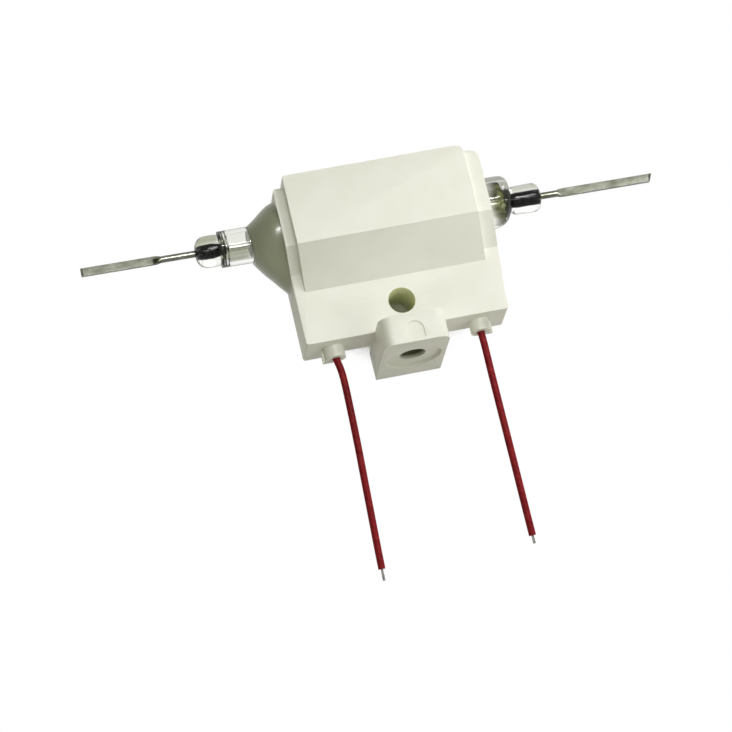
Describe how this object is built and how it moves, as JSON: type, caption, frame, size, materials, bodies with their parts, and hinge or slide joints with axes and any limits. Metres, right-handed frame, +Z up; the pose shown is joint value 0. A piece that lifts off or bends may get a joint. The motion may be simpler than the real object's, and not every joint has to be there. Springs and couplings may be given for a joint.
{
  "type": "reed relay",
  "caption": "Potted high-voltage reed relay: moulded housing with flange and screw lug, long glass reed switch with flat lead ends, hook-up wires for the coil.",
  "frame": {"origin": "on the axis of the flange's screw hole, at the flange's underside", "axes": "+X along the reed switch from the resin cone to the clear bell, +Y from the mounting lug to the back of the body, +Z up through the flange and out of the flat top face"},
  "size_m": [0.0858, 0.0592, 0.0145],
  "materials": {
    "housing_plastic": "satin",
    "potting_resin": "gloss",
    "cone_resin": "gloss",
    "bell_resin": "clear",
    "bobbin_plastic": "satin",
    "copper_wire": "enamelled",
    "tape_film": "satin",
    "solder": "satin",
    "wire_insulation": "gloss",
    "tinned_wire": "satin",
    "switch_glass": "clear",
    "seal_glass": "gloss",
    "lead_metal": "tinned",
    "blade_metal": "satin",
    "contact_metal": "polished"
  },
  "bodies": {
    "relay": {"housing": "housing_plastic", "potting": "potting_resin", "resin_cone": "cone_resin", "resin_bell": "bell_resin", "bobbin": "bobbin_plastic", "winding": "copper_wire", "winding_tape": "tape_film", "left_joint": "solder", "right_joint": "solder", "left_coil_tail": "copper_wire", "right_coil_tail": "copper_wire", "left_wire_inner": "wire_insulation", "right_wire_inner": "wire_insulation", "left_wire": "wire_insulation", "right_wire": "wire_insulation", "left_wire_end": "tinned_wire", "right_wire_end": "tinned_wire", "glass_tube": "switch_glass", "left_seal": "seal_glass", "right_seal": "seal_glass", "left_lead": "lead_metal", "right_lead": "lead_metal"},
    "left_reed": {"left_blade": "blade_metal", "left_contact": "contact_metal"},
    "right_reed": {"right_blade": "blade_metal", "right_contact": "contact_metal"}
  },
  "joints": [
    {"name": "left_reed_flex", "type": "hinge", "parent": "relay", "child": "left_reed", "pos_m": [-0.02265, 0.01366, 0.004], "axis": [0.0122, 0.9999, 0], "range_deg": [0, 0.54], "stiffness_Nm_per_rad": 0.05},
    {"name": "right_reed_flex", "type": "hinge", "parent": "relay", "child": "right_reed", "pos_m": [0.01835, 0.01316, 0.004], "axis": [0.0122, 0.9999, 0], "range_deg": [0, 0.54], "stiffness_Nm_per_rad": 0.05}
  ],
  "couplings": [
    {"joint": "right_reed_flex", "follows": "left_reed_flex", "ratio": 1}
  ]
}
